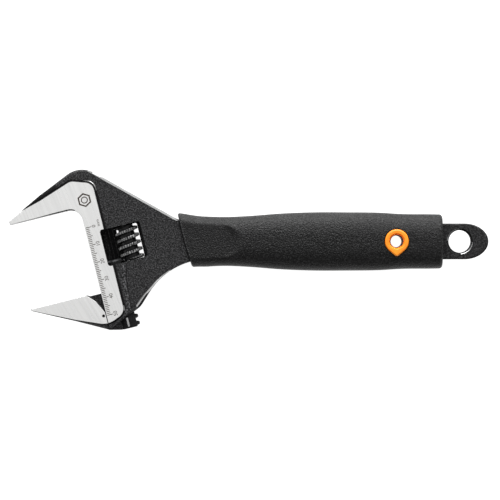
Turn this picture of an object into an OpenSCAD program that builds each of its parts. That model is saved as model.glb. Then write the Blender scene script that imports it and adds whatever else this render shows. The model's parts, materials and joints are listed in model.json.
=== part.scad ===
// Adjustable wrench with a wide jaw, a geared worm and a two-part grip.
// Origin: centre of the hang hole, on the mid-plane. +X towards the tail, +Z out of the scale side.
// Head frame: x runs from the throat edge towards the handle, y is the way the jaw closes.

/* [Head] */
// Tilt of the jaw travel from square across the handle
head_tilt = 14; // [12:0.5:16]
// Origin of the head frame, where the throat edge meets the fixed jaw
throat_at = [-211.9, 19.2]; // [-230:0.1:230]
// Reach of the jaws from throat to tip
jaw_reach = 40; // [36:0.5:44]
// Thickness over the ground faces
pad_t = 14; // [13.6:0.1:16]
// Thickness over the dark faces of the head
head_t = 12.6; // [12.4:0.1:13.4]
// Width of the ground strip that carries the scale
strip_w = 10.1; // [9:0.1:12]

/* [Jaw and worm] */
// Distance between the jaws at rest, fully open
jaw_open = 48.3; // [46:0.1:49]
// Radius of the round rod of the movable jaw
rod_r = 5.3; // [5:0.1:5.4]
// Distance of the rod axis from the throat edge
rod_x = 11.5; // [11.3:0.1:11.7]
// Thickness of the web between blade and rod
web_t = 6; // [4:0.5:7]
// Advance of the worm thread in one turn, and spacing of the rack teeth
lead = 4; // [4:0.1:4.2]
// Outer radius of the worm thread
worm_r = 6.55; // [6.3:0.05:6.6]
// Root radius of the worm thread
worm_root_r = 4.65; // [4.4:0.05:4.7]
// Length of the worm
worm_l = 19.5; // [18:0.5:19.5]
// Distance of the worm axis from the throat edge
worm_x = 21.75; // [21.7:0.05:21.9]
// Radius of the screw pin that the worm turns on
pin_r = 2; // [1.5:0.1:2.2]

/* [Handle] */
// Width of the shank and the tail
shank_w = 20; // [18:0.5:21]
// Thickness of the shank and the tail
shank_t = 8; // [6:0.5:9]
// Radius of the hang hole
hang_r = 6.3; // [5:0.1:7]
// Length of the tail beyond the hang hole centre
tail_l = 16; // [14:0.5:18]

/* [Grip] */
// Grip face nearest the head, on the handle axis
grip_front = -153.5; // [-154.5:0.1:-152]
// Grip end nearest the tail
grip_back = -9.7; // [-12:0.1:-9]
// Width of the hard liner
core_w = 22.4; // [22:0.1:22.6]
// Thickness of the hard liner
core_t = 12.4; // [12:0.1:12.6]
// Radius of the tether hole
tether_r = 3.3; // [2.5:0.1:3.5]
// Radius of the coloured collar
eyelet_r = 6.7; // [6:0.1:7.2]

/* [Hidden] */

$fn = 96;
arc_step = 5;          // degrees between points of a rounded corner
over = 1;              // how far a cutting shape runs past what it cuts
slide_gap = 0.1;       // clearance of the rod in its bore and the web in its slot
pin_gap = 0.05;        // clearance round the worm pin
jaw_gap = 0.3;         // clearance between blade and throat edge
shank_h = shank_w / 2;

// Places on the head, in the head frame
crown = [5.96, 22.76, 14];
jaw_back = [-20, 11.6, 20];
face_y = -0.5;         // working face of the fixed jaw
tip_land = 2.1;        // height of the blunt end of the fixed jaw
throat_r = 7;          // round in the throat corner
head_foot = [0, -70.2, 1];
head_knee = [19.2, -62.2, 10];
window_lo = [7.9, -35.9];
window_hi = [29, -15.5];
window_r = 1.5;
sight_x = 17.2;        // left of this the window is open on the scale side only
notch_lo = [16.2, -20.4]; // low corner of the small through notch at the top of that edge
bore_top = 17.3;       // closed end of the rod bore
neck_r = 39;           // large round under the neck
neck_under_x = -161.8; // where that round's two edges would meet
neck_over_x = -153.2;
neck_over_r = 30;
way_foot = -75.2;      // the cuts for the rod and the web run out below the head, to here
way_top = 0.3;         // the slot for the web ends here
thick_to_x = 55;       // the head's full thickness ends here, inside the grip
head_lo = -100;        // a block from here, and this long, holds the whole head
head_l = 150;

// Movable jaw, in the head frame but measured from its own face
rod_hi = 15.6;         // top end of the rod, above the jaw face
rod_lo = -23.5;        // bottom end of the rod
rod_chamfer = 1;
blade_t = pad_t - 0.2; // the blade is a little thinner than the ground faces of the head
rack_root_x = 15;      // floor of the spaces between the rack teeth
rack_first = 16.4;     // centre of the highest space
rack_spaces = 11;
space_tip_w = 2.7;     // width of a space at the tooth tips
space_root_w = 1.9;    // width of a space at its floor
mesh_r = 5.8;          // radius at which worm and rack touch
rack_lean = atan(lead / (360 / 180 * PI * mesh_r));

// Worm
crest_w = 1.5;
thread_root_w = 2.35;
worm_foot = -35.6;     // lower end of the worm, in the head frame
crest_half = 180 * crest_w / lead;
root_half = 180 * thread_root_w / lead;
rack_side = 180;       // angle of the worm that faces the rack
mesh_height = rack_first + face_y - jaw_open - worm_foot;
worm_phase = rack_side - 360 * mesh_height / lead;
worm_slices = 16;      // per turn
worm_chamfer = 0.8;
counterbore_r = 3.5;
counterbore_l = 2.6;

// Screw pin: plain shaft up through the worm, thicker screw end below
pin_top = -8.5;
pin_foot = -56.5;
screw_r = 2.6;
screw_l = 10;
pin_end_gap = 0.3;     // play at the pin's top end and at its shoulder
slot_w = 0.9;
slot_l = 1.3;

// Spring
wire_r = 0.35;
coil_r = 2.75;
coil_turns = 3;
coil_steps = 16;       // per turn
wire_sides = 8;

// Tail and grip
tail_bend = 2.5;       // straight edges end here and the oval end begins
hang_chamfer = 0.9;
core_front = -138;
core_back = -12;
grip_sides = 40;
grip_power = 0.78;     // below 1 makes the section squarer than an oval
grip_lean = 15.3;      // slant of the front
lean_run = 24;         // over this length the slanted front turns square
lip = 0.5;             // the front is this much off centre, towards the fixed jaw
lip_run = 12;
// Grip sections: place along the handle, half width, half thickness
grip_stations = [[grip_front, 14, 8.4], [grip_front + 0.6, 14.9, 9.1], [grip_front + 2.1, 15.1, 9.6],
                 [-146, 14.4, 9.6], [-131, 13.7, 9.4], [-117, 14.3, 9.8], [-100, 15.6, 10.6],
                 [-86, 16.2, 11], [-61, 16.3, 11], [-45, 16.1, 10.8], [-33, 15.4, 10.4],
                 [grip_back - 4.3, 15.2, 10.2], [grip_back - 1.5, 14.8, 9.9],
                 [grip_back - 0.5, 14.2, 9.3], [grip_back, 13.2, 8.4]];
tether_x = -35.5;
eyelet_top = 10.7;     // height of the collar faces above the mid-plane
eyelet_hole_r = 3.7;
drop_r = 1.8;          // round at the point of the collar
drop_reach = 8.2;      // from the hole centre to the point
thumb_half = 8.5;      // height of the thumb flats above the mid-plane
thumb_at = [-141, -0.8];
thumb_l = 15;
thumb_w = 11;

function unit(v) = v / norm(v);

// Points of one corner, rounded to radius r
function corner(before, at, after, r) =
    r <= 0 ? [at] :
    let (u = unit(before - at))
    let (v = unit(after - at))
    let (half = acos(u * v) / 2)
    let (centre = at + unit(u + v) * r / sin(half))
    let (first = at + u * r / tan(half) - centre)
    let (last = at + v * r / tan(half) - centre)
    let (sweep = (180 - 2 * half) * sign(cross(first, last)))
    let (steps = max(2, ceil(abs(sweep) / arc_step)))
    let (from = atan2(first.y, first.x))
    [for (i = [0:steps]) centre + r * [cos(from + sweep * i / steps), sin(from + sweep * i / steps)]];

// Outline from corners given as [x, y, radius]
function outline(c) =
    [for (i = [0:len(c) - 1])
        let (a = c[(i + len(c) - 1) % len(c)])
        let (b = c[(i + 1) % len(c)])
        each corner([a.x, a.y], [c[i].x, c[i].y], [b.x, b.y], c[i].z)];

// A corner in the head frame, moved to the row frame
function from_head(p) =
    [throat_at.x + p.x * cos(head_tilt) - p.y * sin(head_tilt),
     throat_at.y + p.x * sin(head_tilt) + p.y * cos(head_tilt), p.z];

module in_head(p = [0, 0]) {
    translate([throat_at.x, throat_at.y, 0])
        rotate(head_tilt)
            translate([p.x, p.y, 0])
                children();
}

// Flat shape, thickened evenly about the mid-plane
module slab(points, t) {
    translate([0, 0, -t / 2])
        linear_extrude(t)
            polygon(points);
}

// Round bar along the head's y axis, from its top end down
module bar_down(x, top, r, l) {
    translate([x, top, 0])
        rotate([90, 0, 0])
            cylinder(r = r, h = l);
}

// Whole side view of the forging, without its holes
head_corners = [[-jaw_reach, face_y, 0.4], [-jaw_reach, face_y + tip_land, 0.8], jaw_back, crown];
foot_corners = [head_knee, head_foot, [0, face_y, throat_r]];
forging_outline = concat(
    outline(concat(
        [for (p = head_corners) from_head(p)],
        [[neck_over_x, shank_h, neck_over_r]],
        [for (a = [90:-6:-90]) [tail_bend + (tail_l - tail_bend) * cos(a), shank_h * sin(a), 0]],
        [[neck_under_x, -shank_h, neck_r]],
        [for (p = foot_corners) from_head(p)])));

// Ground area: side of the fixed jaw and the scale strip
pad_outline = outline([[-jaw_reach - over, -over, 0], [-jaw_reach - over, 3, 0], [-20.4, 8.5, 20],
                       [-1.5, 14.9, 5], [strip_w, 11, 5], [strip_w, -62.3, 4.5], [2, -65.6, 4],
                       [-over, -66.4, 0], [-over, -throat_r - over, 0]]);

module body_blank() {
    slab(forging_outline, shank_t);
    intersection() {
        slab(forging_outline, head_t);
        in_head([-jaw_reach - over, head_lo])
            translate([0, 0, -head_t])
                cube([jaw_reach + over + thick_to_x, head_l, 2 * head_t]);
    }
    intersection() {
        slab(forging_outline, pad_t);
        in_head()
            slab(pad_outline, pad_t + over);
    }
}

module window_cut() {
    hi = window_hi;
    lo = window_lo;
    slab(outline([[sight_x, lo.y, 0], [hi.x, lo.y, window_r], [hi.x, hi.y, window_r],
                  [sight_x, hi.y, 0]]), pad_t + over);
    linear_extrude(pad_t)
        polygon(outline([[lo.x, lo.y, window_r], [sight_x + over, lo.y, 0],
                         [sight_x + over, hi.y, 0], [lo.x, hi.y, window_r]]));
    slab(outline([[notch_lo.x, notch_lo.y, 0], [sight_x + over, notch_lo.y, 0],
                  [sight_x + over, hi.y, 0], [notch_lo.x, hi.y, 0]]), pad_t + over);
    bar_down(worm_x, hi.y, worm_r + jaw_gap, hi.y - lo.y);
}

module rod_way() {
    way_t = web_t + 2 * slide_gap;
    bar_down(rod_x, bore_top, rod_r + slide_gap, bore_top - way_foot);
    translate([-throat_r - over, way_foot, -way_t / 2])
        cube([throat_r + over + rod_x, way_top - way_foot, way_t]);
}

module pin_way() {
    bar_down(worm_x, pin_top, pin_r + pin_gap, pin_top - pin_foot);
    bar_down(worm_x, pin_foot + screw_l, screw_r + pin_gap, 2 * screw_l);
}

module hang_hole() {
    translate([0, 0, -shank_t])
        cylinder(r = hang_r, h = 2 * shank_t);
    for (side = [0, 1])
        mirror([0, 0, side])
            translate([0, 0, shank_t / 2 - hang_chamfer])
                cylinder(r1 = hang_r, r2 = hang_r + 2 * hang_chamfer, h = 2 * hang_chamfer);
}

module tether_hole() {
    translate([tether_x, 0, -pad_t])
        cylinder(r = tether_r, h = 2 * pad_t);
}

module body_forging() {
    color("#3a3a3c")
        difference() {
            body_blank();
            in_head() {
                window_cut();
                rod_way();
                pin_way();
            }
            hang_hole();
            tether_hole();
        }
}

// Blade, with the relief that clears the round in the throat
blade_foot = -21.8;    // lowest corner of the blade, beside the throat edge
blade_outline = outline([[-jaw_reach, 0, 0], [-8, 0, 3], [-3.9, -4.2, 6], [-jaw_gap, -11.5, 3],
                         [-jaw_gap, blade_foot, 1], [-17.7, -12.3, 30], [-jaw_reach, -1, 0.4]]);
web_root = -9;         // the web starts inside the blade, here
web_top = -0.9;        // top edge of the web, just below the level of the jaw face
web_outline = [[web_root, web_top], [rod_x, web_top], [rod_x, rod_lo], [6, rod_lo + 0.2],
               [-jaw_gap, blade_foot], [web_root, -17]];

module rack_rod() {
    difference() {
        translate([rod_x, rod_lo, 0])
            rotate([-90, 0, 0])
                rotate_extrude()
                    polygon([[0, 0], [rod_r - rod_chamfer, 0], [rod_r, rod_chamfer],
                             [rod_r, rod_hi - rod_lo - rod_chamfer],
                             [rod_r - rod_chamfer, rod_hi - rod_lo], [0, rod_hi - rod_lo]]);
        for (i = [0:rack_spaces - 1])
            translate([rack_root_x, rack_first - i * lead, 0])
                rotate([-rack_lean, 0, 0])
                    rack_space();
    }
}

module rack_space() {
    depth = rod_x + rod_r - rack_root_x;
    flare = (space_tip_w - space_root_w) / depth * (depth + over);
    slab([[0, -space_root_w / 2], [depth + over, -(space_root_w + flare) / 2],
          [depth + over, (space_root_w + flare) / 2], [0, space_root_w / 2]], 4 * rod_r);
}

module movable_jaw() {
    color("#d8d8d6")
        in_head([0, face_y - jaw_open]) {
            slab(blade_outline, blade_t);
            slab(web_outline, web_t);
            rack_rod();
        }
}

// Cross-section of the one-start thread
function thread_section() =
    concat([for (i = [-6:6]) worm_r * [cos(crest_half * i / 6), sin(crest_half * i / 6)]],
           [for (i = [0:12]) let (a = root_half + (360 - 2 * root_half) * i / 12)
               worm_root_r * [cos(a), sin(a)]]);

module knurl() {
    color("#4a4a4d")
        in_head([worm_x, worm_foot])
            rotate([-90, 0, 0])
                difference() {
                    intersection() {
                        rotate(worm_phase)
                            linear_extrude(worm_l, twist = -360 * worm_l / lead,
                                           slices = ceil(worm_slices * worm_l / lead),
                                           segments = len(thread_section()))
                                polygon(thread_section());
                        rotate_extrude()
                            polygon([[0, 0], [worm_r - worm_chamfer, 0],
                                     [worm_r + 0.1, worm_chamfer + 0.1],
                                     [worm_r + 0.1, worm_l - worm_chamfer - 0.1],
                                     [worm_r - worm_chamfer, worm_l], [0, worm_l]]);
                    }
                    translate([0, 0, -over])
                        cylinder(r = pin_r + pin_gap, h = worm_l + 2 * over);
                    translate([0, 0, worm_l - counterbore_l])
                        cylinder(r = counterbore_r, h = counterbore_l + over);
                }
}

module worm_pin() {
    color("#8a8a8a")
        in_head()
            difference() {
                union() {
                    bar_down(worm_x, pin_top - pin_end_gap, pin_r,
                             pin_top - pin_end_gap - pin_foot);
                    bar_down(worm_x, pin_foot + screw_l - pin_end_gap, screw_r,
                             screw_l - pin_end_gap);
                }
                translate([worm_x - screw_r - over, pin_foot - over, -slot_w / 2])
                    cube([2 * (screw_r + over), slot_l + over, slot_w]);
            }
}

// Rings of points along a coil, joined into one closed tube
module coil(r, wire, height) {
    last = coil_turns * coil_steps;
    rings = [for (i = [0:last]) for (j = [0:wire_sides - 1])
        let (a = 360 * i / coil_steps)
        let (b = 360 * j / wire_sides)
        let (out = r + wire * cos(b))
        [out * cos(a), out * sin(a), height * i / last + wire * sin(b)]];
    sides = [for (i = [0:last - 1]) for (j = [0:wire_sides - 1])
        let (k = (j + 1) % wire_sides)
        [i * wire_sides + j, i * wire_sides + k, (i + 1) * wire_sides + k, (i + 1) * wire_sides + j]];
    foot = [[for (j = [wire_sides - 1:-1:0]) j]];
    top = [[for (j = [0:wire_sides - 1]) last * wire_sides + j]];
    polyhedron(rings, concat(sides, foot, top), convexity = 8);
}

module worm_spring() {
    spring_foot = worm_foot + worm_l - counterbore_l + slide_gap + wire_r;
    spring_l = window_hi.y - wire_r - spring_foot;
    color("#b0b0b0")
        in_head([worm_x, spring_foot])
            rotate([-90, 0, 0])
                coil(coil_r, wire_r, spring_l);
}

module grip_core() {
    color("#202022")
        difference() {
            translate([core_front, -core_w / 2, -core_t / 2])
                cube([core_back - core_front, core_w, core_t]);
            translate([core_front - over, -shank_h, -shank_t / 2])
                cube([core_back - core_front + 2 * over, shank_w, shank_t]);
            tether_hole();
        }
}

// One ring of the grip: a squared oval, leaning with the head at the front
function grip_ring(s) =
    let (fade = max(0, 1 - (s.x - grip_front) / lean_run))
    let (shift = lip * max(0, 1 - (s.x - grip_front) / lip_run))
    [for (j = [0:grip_sides - 1])
        let (a = 360 * j / grip_sides)
        let (y = shift + s.y * sign(cos(a)) * pow(abs(cos(a)), grip_power))
        let (z = s.z * sign(sin(a)) * pow(abs(sin(a)), grip_power))
        [s.x - y * tan(grip_lean) * fade, y, z]];

module grip_loft() {
    last = len(grip_stations) - 1;
    rings = [for (s = grip_stations) each grip_ring(s)];
    sides = [for (i = [0:last - 1]) for (j = [0:grip_sides - 1])
        let (k = (j + 1) % grip_sides)
        [i * grip_sides + j, (i + 1) * grip_sides + j, (i + 1) * grip_sides + k, i * grip_sides + k]];
    front = [[for (j = [0:grip_sides - 1]) j]];
    back = [[for (j = [grip_sides - 1:-1:0]) last * grip_sides + j]];
    polyhedron(rings, concat(sides, front, back), convexity = 4);
}

// Teardrop plate of the collar, from height z0 to z1
module drop(z0, z1) {
    reach = drop_reach - drop_r;
    slope = acos((eyelet_r - drop_r) / reach);
    translate([tether_x, 0, z0]) {
        cylinder(r = eyelet_r, h = z1 - z0);
        translate([0, -reach, 0])
            cylinder(r = drop_r, h = z1 - z0);
        linear_extrude(z1 - z0)
            polygon([[eyelet_r * sin(slope), -eyelet_r * cos(slope)], [0, 0],
                     [-eyelet_r * sin(slope), -eyelet_r * cos(slope)],
                     [-drop_r * sin(slope), -reach - drop_r * cos(slope)],
                     [drop_r * sin(slope), -reach - drop_r * cos(slope)]]);
    }
}

module thumb_flat() {
    translate([thumb_at.x, thumb_at.y, thumb_half])
        linear_extrude(pad_t)
            polygon([for (a = [0:10:350]) [thumb_l * cos(a), thumb_w * sin(a)]]);
}

module grip_cover() {
    color("#2a2a2c")
        difference() {
            grip_loft();
            translate([core_front, -core_w / 2, -core_t / 2])
                cube([core_back - core_front, core_w, core_t]);
            body_blank();
            drop(0, pad_t);
            drop(-pad_t, 0);
            thumb_flat();
            mirror([0, 0, 1])
                thumb_flat();
        }
}

module eyelet() {
    color("#ff9620")
        difference() {
            drop(core_t / 2, eyelet_top);
            translate([tether_x, 0, 0])
                cylinder(r = eyelet_hole_r, h = pad_t);
        }
}

module eyelet_front() {
    eyelet();
}

module eyelet_back() {
    mirror([0, 0, 1])
        eyelet();
}

body_forging();
movable_jaw();
knurl();
worm_pin();
worm_spring();
grip_core();
grip_cover();
eyelet_front();
eyelet_back();
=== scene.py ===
"""Looks of the adjustable wrench. Lengths are in millimetres until a mesh is made, then metres.

Head frame: n runs from the throat edge towards the handle, c is the way the jaw closes.
"""
import json
import math
from types import SimpleNamespace

import bmesh
import bpy
import numpy as np
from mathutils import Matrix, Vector
from mathutils.geometry import delaunay_2d_cdt


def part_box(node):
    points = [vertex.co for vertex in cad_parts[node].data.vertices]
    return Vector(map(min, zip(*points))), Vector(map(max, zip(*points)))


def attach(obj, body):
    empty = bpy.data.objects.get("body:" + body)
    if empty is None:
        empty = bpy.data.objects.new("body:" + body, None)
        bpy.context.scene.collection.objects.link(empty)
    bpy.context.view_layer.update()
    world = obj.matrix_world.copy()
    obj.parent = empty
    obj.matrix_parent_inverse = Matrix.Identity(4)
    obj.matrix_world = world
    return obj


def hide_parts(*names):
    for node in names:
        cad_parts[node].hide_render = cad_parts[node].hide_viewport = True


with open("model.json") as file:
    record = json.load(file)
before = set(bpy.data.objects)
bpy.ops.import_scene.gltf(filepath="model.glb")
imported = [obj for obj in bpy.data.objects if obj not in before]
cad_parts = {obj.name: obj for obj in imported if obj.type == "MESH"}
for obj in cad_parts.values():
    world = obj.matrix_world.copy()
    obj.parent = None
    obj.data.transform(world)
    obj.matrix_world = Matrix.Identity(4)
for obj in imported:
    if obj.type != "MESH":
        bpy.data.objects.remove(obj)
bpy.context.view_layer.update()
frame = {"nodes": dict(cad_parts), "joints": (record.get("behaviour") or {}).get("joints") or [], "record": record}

MM = 0.001
JOINTS = {j["name"]: j for j in frame["joints"]}
MOUNTS = {m["name"]: m for m in frame["record"]["mounts"]}

# Head frame, from the slide's axis and the middle of the fixed jaw's face
FACE_TO_THROAT = 22.5
FACE_C = -0.5
closing = np.array(JOINTS["jaw_slide"]["axis"][:2])
along = np.array((closing[1], -closing[0]))
face_middle = np.array(MOUNTS["fixed_jaw_face"]["pos_m"][:2]) / MM
throat = face_middle + FACE_TO_THROAT * along - FACE_C * closing
head_tilt = math.atan2(along[1], along[0])


def to_head(points):
    """Row-frame points as (n, c)."""
    step = np.asarray(points)[:, :2] - throat
    return np.stack([step @ along, step @ closing], 1)


known = [MOUNTS["movable_jaw_face"]["pos_m"], JOINTS["worm_spin"]["pos_m"]]
(_, jaw_c), (worm_n, _) = to_head(np.array(known) / MM)
lead = 2 * math.pi / MM / abs(frame["record"]["behaviour"]["couplings"][0]["ratio"])
hang_r = MOUNTS["hang_hole"]["dims"]["r_mm"]
tether_r = MOUNTS["tether_hole"]["dims"]["r_mm"]
tether_x = MOUNTS["tether_hole"]["pos_m"][0] / MM
floor_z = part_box("grip_cover")[0].z

# Head
JAW_REACH = 40
FIXED_TIP = 2.1          # blunt end of the fixed jaw
THROAT_R = 7
PAD_Z = 7.0              # ground faces, above the mid-plane
DARK_Z = 6.3             # coated faces of the head
BLADE_Z = 6.9            # ground faces of the movable jaw
SHANK_Z = 4.0            # shank and tail
SHANK_HALF = 10
TAIL_LENGTH = 16
TAIL_BEND = 2.5
HANG_CHAMFER = 0.9
STRIP_WIDTH = 10.1
CRESCENT = (10.4, 11.3)   # middle of the raised rim at the pad's corner, which carries a painted highlight
WINDOW_LOW = (7.9, -35.9)
WINDOW_HIGH = (29.0, -15.5)
WINDOW_ROUND = 1.5
WINDOW_FLARE = 1.5       # how far the right wall leans back at the surface
WINDOW_THROUGH = [(17.2, -35.65, 0), (28.4, -35.65, 1.5), (28.4, -16.05, 1), (17.2, -16.05, 0)]
WINDOW_THROAT_Z = 2.8    # the wall is upright below this
SIGHT_EDGE = 17.2        # left of this the window is open on the scale side only
NOTCH_LOW = (16.2, -20.4)  # low corner of the small through notch in that edge
EDGE_BREAK = 0.25        # chamfer round the window
ROD_N = 11.5
ROD_R = 5.3
BORE_TOP = 17.3
SLIDE_GAP = 0.1
SLOT_Z = 3.1
PIN_R = 2.05
SCREW_R = 2.65
PIN_TOP, PIN_FOOT, SCREW_LENGTH = -8.5, -56.5, 10
SLIDE_CUT_FOOT = -76     # the cuts for rod and web run out below the head, to here
PIN_CUT_FOOT = -67       # and the cut for the pin, to here
HEAD_END_X = -155.5      # the trimmed edges of the head end here
SHANK_START_X = -150     # hidden in the grip

# Worm
WORM_R = 6.55
WORM_ROOT_R = 4.3
WORM_FOOT = -35.6
WORM_LENGTH = 19.5
CREST_WIDTH = 1.5
THREAD_ROOT_WIDTH = 2.35
RACK_FIRST = 16.4        # centre of the highest rack space, above the jaw face
RACK_SPACES = 11
BLADE_FOOT = -21.8       # below the movable jaw's face, as is the next
ROD_FOOT = -23.49
ROD_LENGTH = 39.1
RACK_ROOT_N = 15
SPACE_ROOT_HALF, SPACE_TIP_HALF = 0.95, 1.57
MESH_R = 5.8             # radius at which worm and rack touch
RACK_LEAN = math.atan(lead / (2 * math.pi * MESH_R))

# Grip
GRIP_FRONT, GRIP_BACK = -153.5, -9.7
GRIP_LEAN = math.radians(15.3)
GRIP_LIP, LIP_RUN = 0.8, 12      # the front stands this much off centre
CORE_FRONT, CORE_BACK, CORE_HALF_W, CORE_HALF_T = -138, -12, 11.2, 6.2
COLLAR_R, COLLAR_POINT_R, COLLAR_REACH, COLLAR_TOP = 6.7, 1.8, 8.2, 10.7
COLLAR_HOLE_R = 3.7
COLLAR_GAP = 0.35
# Radius of the funnel into the tether hole, and depth below the collar's top
COLLAR_FUNNEL = ((4.7, 0), (4.45, 0.05), (4.25, 0.22), (4.1, 0.6), (COLLAR_HOLE_R + 0.2, 1.5),
                 (COLLAR_HOLE_R, 2.1), (COLLAR_HOLE_R, COLLAR_TOP - CORE_HALF_T))


# ---- outlines

def unit(v):
    return v / np.linalg.norm(v)


def rounded(corners, step=4):
    """Outline through corners (x, y, radius), each rounded by an arc."""
    points = []
    for i, (x, y, radius) in enumerate(corners):
        at = np.array((x, y), float)
        if radius <= 0:
            points.append(at)
            continue
        u = unit(np.array(corners[i - 1][:2]) - at)
        v = unit(np.array(corners[(i + 1) % len(corners)][:2]) - at)
        half = math.acos(u @ v) / 2
        centre = at + unit(u + v) * radius / math.sin(half)
        first = at + u * radius / math.tan(half) - centre
        last = at + v * radius / math.tan(half) - centre
        sweep = (math.pi - 2 * half) * np.sign(first[0] * last[1] - first[1] * last[0])
        steps = max(2, math.ceil(abs(sweep) / math.radians(step)))
        start = math.atan2(first[1], first[0])
        for k in range(steps + 1):
            a = start + sweep * k / steps
            points.append(centre + radius * np.array((math.cos(a), math.sin(a))))
    return np.array(points)


def split(points, spacing):
    """The closed outline with its long edges split."""
    out = []
    for a, b in zip(points, np.roll(points, -1, axis=0)):
        count = max(1, math.ceil(np.linalg.norm(b - a) / spacing))
        out += [a + (b - a) * k / count for k in range(count)]
    return np.array(out)


def from_head(points):
    """(n, c) points, with any further columns kept, in the row frame."""
    p = np.atleast_2d(np.asarray(points, float))
    xy = throat + p[:, :1] * along + p[:, 1:2] * closing
    return np.hstack([xy, p[:, 2:]])


def inside(points, loop):
    """Which points lie inside the closed loop."""
    hit = np.zeros(len(points), bool)
    x, y = points[:, 0], points[:, 1]
    for a, b in zip(loop, np.roll(loop, -1, axis=0)):
        if a[1] != b[1]:
            crosses = (a[1] > y) != (b[1] > y)
            hit ^= crosses & (x < a[0] + (y - a[1]) * (b[0] - a[0]) / (b[1] - a[1]))
    return hit


def to_loop(points, loop, values):
    """Distance to the loop, and the loop's values at the nearest place."""
    start, run = loop, np.roll(loop, -1, axis=0) - loop
    length2 = (run ** 2).sum(1)
    after = np.roll(values, -1, axis=0)
    distance, found = [], []
    for part in np.array_split(points, max(1, len(points) // 3000)):
        step = part[:, None, :] - start[None]
        t = np.clip((step * run).sum(2) / length2, 0, 1)
        gap = np.linalg.norm(step - t[:, :, None] * run, axis=2)
        near = gap.argmin(1)
        each = np.arange(len(part))
        share = t[each, near][:, None]
        distance.append(gap[each, near])
        found.append(values[near] * (1 - share) + after[near] * share)
    return np.concatenate(distance), np.concatenate(found)


def gap_to(points, loop):
    """Distance to the loop."""
    return to_loop(points, loop, np.zeros((len(loop), 1)))[0]


def inward(loop):
    """Unit normals of a counter-clockwise or clockwise loop, pointing in."""
    run = np.roll(loop, -1, axis=0) - np.roll(loop, 1, axis=0)
    x, y = loop[:, 0], loop[:, 1]
    area = (x * np.roll(y, -1) - np.roll(x, -1) * y).sum()
    normal = np.stack([-run[:, 1], run[:, 0]], 1) * np.sign(area)
    return normal / np.linalg.norm(normal, axis=1)[:, None]


def ease(t):
    t = np.clip(t, 0, 1)
    return t * t * (3 - 2 * t)


def soften(values, loop, reach):
    """Values round the loop, averaged over a reach to each side."""
    seg = np.linalg.norm(np.roll(loop, -1, axis=0) - loop, axis=1)
    walked = np.concatenate([[0], np.cumsum(seg)])
    weight = (seg + np.roll(seg, 1)) / 2
    apart = np.abs(walked[:-1, None] - walked[None, :-1])
    apart = np.minimum(apart, walked[-1] - apart)
    kernel = np.clip(1 - apart / reach, 0, 1) * weight
    return kernel @ values / kernel.sum(1)[:, None]


# ---- meshes

AROUND = np.linspace(0, 2 * math.pi, 96, endpoint=False)


def place(name, data):
    """A new object in the scene that shows the data."""
    obj = bpy.data.objects.new(name, data)
    bpy.context.scene.collection.objects.link(obj)
    return obj


def to_object(name, points, faces):
    """A body from points in millimetres, with its faces turned outwards."""
    mesh = bpy.data.meshes.new(name)
    mesh.from_pydata((np.asarray(points, float) * MM).tolist(), [], faces)
    mesh.validate()
    body = bmesh.new()
    body.from_mesh(mesh)
    if body.calc_volume(signed=True) < 0:
        mesh.flip_normals()
    body.free()
    return place(name, mesh)


def band(rings, columns, close_ends=True):
    """Quads between rings of equal length, and either two end faces or a join of last to first."""
    faces = []
    last = len(rings) - 1 if close_ends else len(rings)
    for i in range(last):
        for j in range(columns):
            k = (j + 1) % columns
            m = (i + 1) % len(rings)
            faces.append((i * columns + j, i * columns + k, m * columns + k, m * columns + j))
    if close_ends:
        faces.append(tuple(range(columns - 1, -1, -1)))
        faces.append(tuple(range(last * columns, (last + 1) * columns)))
    return faces


def loft(name, rings):
    """Closed body through rings of points, first to last."""
    return to_object(name, np.concatenate(rings), band(rings, len(rings[0])))


def prism(name, layers):
    """Body through flat outlines, given as (points, z) from the lowest up."""
    return loft(name, [np.hstack([p, np.full((len(p), 1), z)]) for p, z in layers])


def axle_ring(n, c, radius, angle):
    """Ring round the line at n, parallel to c. The radius may change round it."""
    row = np.stack([n + radius * np.cos(angle), np.full(len(angle), c)], 1)
    return np.hstack([from_head(row), -(radius * np.sin(angle))[:, None]])


def lathe(name, profile, n, foot):
    """Solid turned round the line at n, parallel to c; profile is (radius, height)."""
    return loft(name, [axle_ring(n, foot + height, radius, AROUND) for radius, height in profile])


def upright(name, x, y, profile):
    """Solid turned round a vertical line; profile is (radius, z)."""
    row = np.stack([np.cos(AROUND), np.sin(AROUND)], 1)
    return prism(name, [((x, y) + radius * row, z) for radius, z in profile])


def join_with(obj, tool, how):
    """One Boolean step, applied. The tool is used up."""
    step = obj.modifiers.new(how, "BOOLEAN")
    step.operation = how
    step.solver = "MANIFOLD"
    step.object = tool
    bpy.context.view_layer.update()
    seen = bpy.context.evaluated_depsgraph_get()
    mesh = bpy.data.meshes.new_from_object(obj.evaluated_get(seen))
    obj.modifiers.remove(step)
    obj.data = mesh
    bpy.data.objects.remove(tool)


def cut(obj, *tools):
    for tool in tools:
        join_with(obj, tool, "DIFFERENCE")


def inner_points(points, loop, style, keep):
    """The points inside the loop that keep(gap, edge width) accepts."""
    points = points[inside(points, loop)]
    gap, at = to_loop(points, loop, style)
    return points[keep(gap, at[:, 0])]


def hex_grid(loop, spacing):
    """Points over the loop's box, every other row shifted by half the spacing."""
    lo, hi = loop.min(0), loop.max(0)
    x, y = np.meshgrid(np.arange(lo[0], hi[0], spacing), np.arange(lo[1], hi[1], spacing))
    x = x + (np.arange(x.shape[0]) % 2)[:, None] * spacing / 2
    return np.stack([x.ravel(), y.ravel()], 1)


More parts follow.
